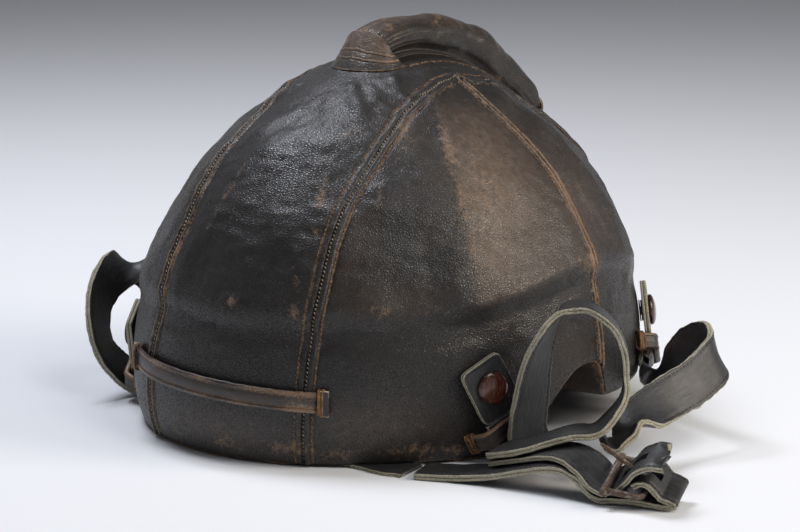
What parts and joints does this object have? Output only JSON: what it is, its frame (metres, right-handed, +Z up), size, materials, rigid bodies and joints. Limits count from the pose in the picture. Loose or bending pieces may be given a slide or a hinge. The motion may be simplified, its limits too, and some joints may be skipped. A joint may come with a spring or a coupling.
{
  "type": "leather flying helmet",
  "caption": "Leather-covered hard-shell flying helmet with a stuffed crest, ear cut-outs, a strap loop at the back, snap tabs and forked chin straps that meet at a prong buckle.",
  "frame": {"origin": "centre of the shell's lower edge, level with its lowest points, under the middle of the shell", "axes": "+Z up through the crown, +Y towards the back of the helmet, -X towards the wearer's right"},
  "size_m": [0.3734, 0.2821, 0.1969],
  "materials": {
    "panel_leather": "black-brown pebbled leather, worn tan along seams and ridges",
    "worn_leather": "worn brown leather of the edges, loops and lining",
    "strap_leather": "grey-black strap leather with pale raw edges",
    "plate_steel": "plain sheet steel, hidden under the leather",
    "rusty_steel": "dark rusted steel",
    "snap_enamel": "glossy red-brown enamel",
    "felt_pad": "dark green-black felt"
  },
  "bodies": {
    "shell": {"leather_panel_centre": "panel_leather", "leather_panel_rear_right": "panel_leather", "leather_panel_front_right": "panel_leather", "leather_panel_rear_left": "panel_leather", "leather_panel_front_left": "panel_leather", "steel_plate_lower_rear": "plate_steel", "steel_plate_lower_right": "plate_steel", "steel_plate_lower_front": "plate_steel", "steel_plate_lower_left": "plate_steel", "steel_plate_upper_rear": "plate_steel", "steel_plate_upper_right": "plate_steel", "steel_plate_upper_front": "plate_steel", "steel_plate_upper_left": "plate_steel", "steel_plate_crown": "plate_steel", "felt_padding_ring": "felt_pad", "felt_padding_crown": "felt_pad", "leather_sweatband": "worn_leather", "lining_crown": "worn_leather", "edge_binding_rear": "worn_leather", "edge_binding_right_ear": "worn_leather", "edge_binding_front": "worn_leather", "edge_binding_left_ear": "worn_leather", "crest_cover": "panel_leather", "crest_padding": "felt_pad", "crest_base_strip": "panel_leather", "crest_collar_rear": "panel_leather", "crest_collar_front": "panel_leather", "back_strap_loop": "worn_leather", "back_loop_end_left": "worn_leather", "back_loop_end_right": "worn_leather", "snap_stud_rear_right": "rusty_steel", "snap_stud_front_right": "rusty_steel", "snap_stud_rear_left": "rusty_steel", "snap_stud_front_left": "rusty_steel", "strap_loop_rear_right": "worn_leather", "strap_loop_front_right": "worn_leather", "strap_loop_rear_left": "worn_leather", "strap_loop_front_left": "worn_leather", "strap_rear_right": "strap_leather", "strap_front_right": "strap_leather", "strap_rear_left": "strap_leather", "strap_front_left": "strap_leather", "chin_strap_left": "strap_leather", "chin_strap_right": "strap_leather", "buckle_strap": "strap_leather"},
    "tab_rear_right": {"snap_tab_rear_right": "strap_leather", "snap_cap_rear_right": "snap_enamel"},
    "tab_front_right": {"snap_tab_front_right": "strap_leather", "snap_cap_front_right": "snap_enamel"},
    "tab_rear_left": {"snap_tab_rear_left": "strap_leather", "snap_cap_rear_left": "snap_enamel"},
    "tab_front_left": {"snap_tab_front_left": "strap_leather", "snap_cap_front_left": "snap_enamel"},
    "buckle": {"buckle_frame": "rusty_steel"},
    "prong": {"buckle_prong": "rusty_steel"}
  },
  "joints": [
    {"name": "tab_hinge_rear_right", "type": "hinge", "parent": "shell", "child": "tab_rear_right", "pos_m": [-0.11542, 0.05108, 0.02446], "axis": [-0.2929, -0.8418, 0.4534], "range_deg": [0, 34]},
    {"name": "tab_hinge_front_right", "type": "hinge", "parent": "shell", "child": "tab_front_right", "pos_m": [-0.09716, -0.08868, 0.03451], "axis": [0.4886, -0.7472, -0.4505], "range_deg": [0, 34]},
    {"name": "tab_hinge_rear_left", "type": "hinge", "parent": "shell", "child": "tab_rear_left", "pos_m": [0.10336, 0.07837, 0.02447], "axis": [-0.4526, 0.7678, -0.4534], "range_deg": [0, 34]},
    {"name": "tab_hinge_front_left", "type": "hinge", "parent": "shell", "child": "tab_front_left", "pos_m": [0.09716, -0.08868, 0.03451], "axis": [0.4886, 0.7472, 0.4505], "range_deg": [0, 34]},
    {"name": "buckle_hinge", "type": "hinge", "parent": "shell", "child": "buckle", "pos_m": [-0.20979, 0.06311, 0.01068], "axis": [0.3253, -0.8937, 0.309], "range_deg": [0, 12]},
    {"name": "prong_hinge", "type": "hinge", "parent": "buckle", "child": "prong", "pos_m": [-0.20979, 0.06311, 0.01068], "axis": [0.3253, -0.8937, 0.309], "range_deg": [-18, 22]}
  ]
}
